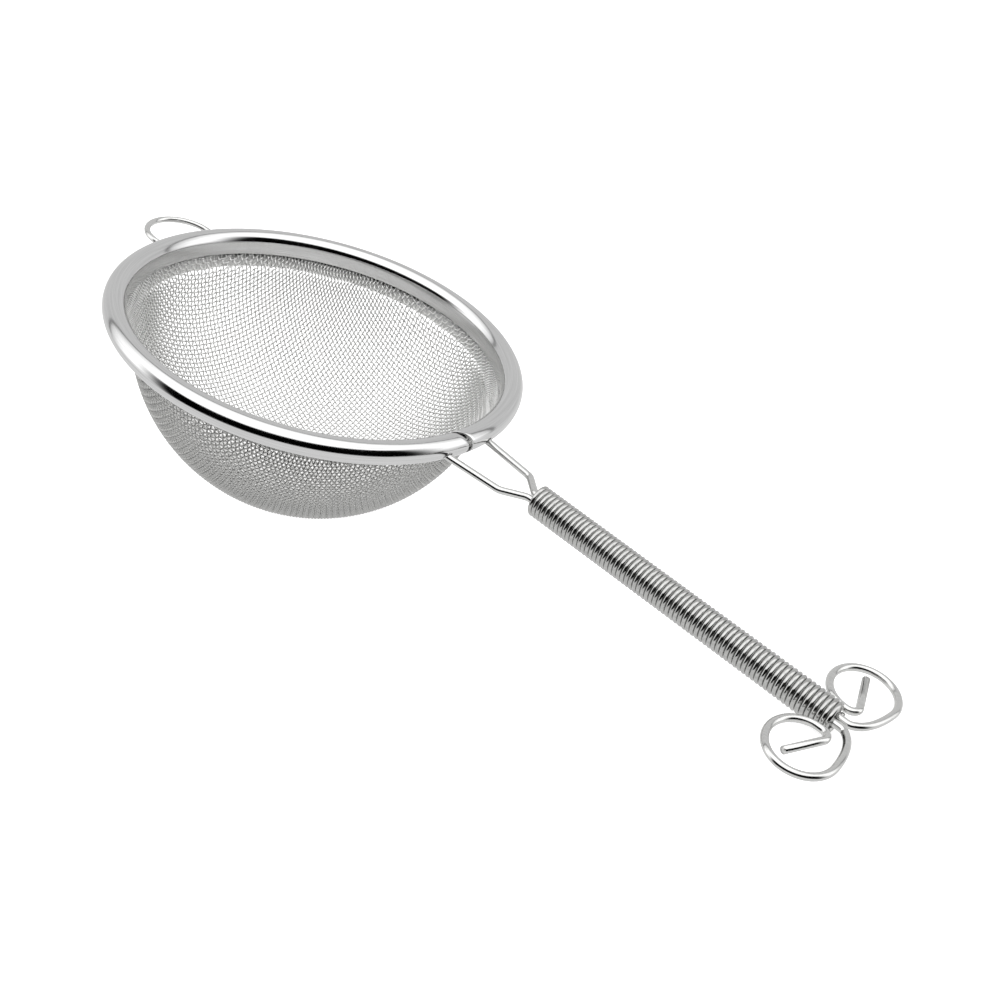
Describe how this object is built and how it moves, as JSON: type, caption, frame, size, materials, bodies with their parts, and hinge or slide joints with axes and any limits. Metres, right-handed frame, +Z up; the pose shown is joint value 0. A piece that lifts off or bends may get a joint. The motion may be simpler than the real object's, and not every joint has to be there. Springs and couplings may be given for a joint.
{
  "type": "tea strainer",
  "caption": "Hand-held tea strainer: a woven wire bowl in a rolled sheet rim, on a forked wire handle with a coil grip, curled end loops and a rest hook.",
  "frame": {"origin": "bottom centre of the bounding box, on the table that the bowl and the grip's end rest on", "axes": "+X from the bowl towards the end of the handle, +Z up, Y across; the rim slopes down towards +X"},
  "size_m": [0.1668, 0.08, 0.047],
  "materials": {
    "cloth_steel": "bright woven wire",
    "rim_steel": "polished",
    "handle_steel": "polished",
    "coil_steel": "polished",
    "hook_steel": "polished"
  },
  "bodies": {
    "root": {"mesh_bowl": "cloth_steel", "rim_band": "rim_steel", "handle_wire": "handle_steel", "grip_coil": "coil_steel", "rest_hook": "hook_steel"}
  },
  "joints": []
}
